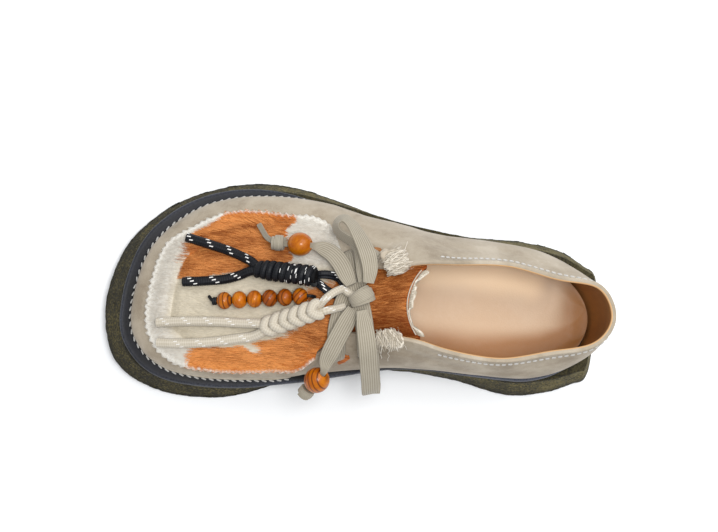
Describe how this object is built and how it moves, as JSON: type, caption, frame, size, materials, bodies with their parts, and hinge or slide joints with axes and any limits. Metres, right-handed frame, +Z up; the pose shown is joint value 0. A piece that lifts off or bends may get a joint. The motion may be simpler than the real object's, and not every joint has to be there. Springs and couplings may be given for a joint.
{
  "type": "low-top moccasin shoe",
  "caption": "Low-top lace-up moccasin shoe for the right foot, with a suede upper, hair-on hide apron and tongue, flat lace bow, bead and cord lanyards and a flared rubber sole.",
  "frame": {"origin": "on the floor under the middle of the outsole's box", "axes": "+X from toe to heel, +Y to the outer side of a right foot, +Z up"},
  "size_m": [0.289, 0.1301, 0.0944],
  "materials": {
    "olive_crepe": "matt mottled crepe",
    "black_rubber": "satin",
    "tan_leather": "smooth vegetable-tanned",
    "taupe_suede": "napped suede",
    "hair_hide": "short hair-on hide, brown and white",
    "ribbed_lace": "flat ribbed cotton",
    "turned_wood": "lacquered, striped grain",
    "black_cord": "braided, white flecks",
    "cream_cord": "braided",
    "raw_cotton": "frayed"
  },
  "bodies": {
    "root": {"outsole": "olive_crepe", "midsole": "black_rubber", "insole": "tan_leather", "upper": "taupe_suede", "apron_tongue": "hair_hide", "lace_crossing": "ribbed_lace", "lace_knot": "ribbed_lace", "lace_loop_lateral": "ribbed_lace", "lace_loop_medial": "ribbed_lace", "lace_end_lateral": "ribbed_lace", "lace_end_medial": "ribbed_lace", "knot_end_lateral": "ribbed_lace", "knot_end_medial": "ribbed_lace", "lace_tip_lateral": "ribbed_lace", "bead_end_lateral": "turned_wood", "bead_end_medial": "turned_wood", "small_bead_1": "turned_wood", "small_bead_2": "turned_wood", "small_bead_3": "turned_wood", "small_bead_4": "turned_wood", "small_bead_5": "turned_wood", "small_bead_6": "turned_wood", "black_knot": "black_cord", "black_tail_upper": "black_cord", "black_tail_lower": "black_cord", "black_bight": "black_cord", "bead_cord": "black_cord", "cream_knot": "cream_cord", "cream_tail_upper": "cream_cord", "cream_tail_lower": "cream_cord", "cream_bight_upper": "cream_cord", "cream_bight_lower": "cream_cord", "tuft_lateral": "raw_cotton", "tuft_medial": "raw_cotton"}
  },
  "joints": []
}
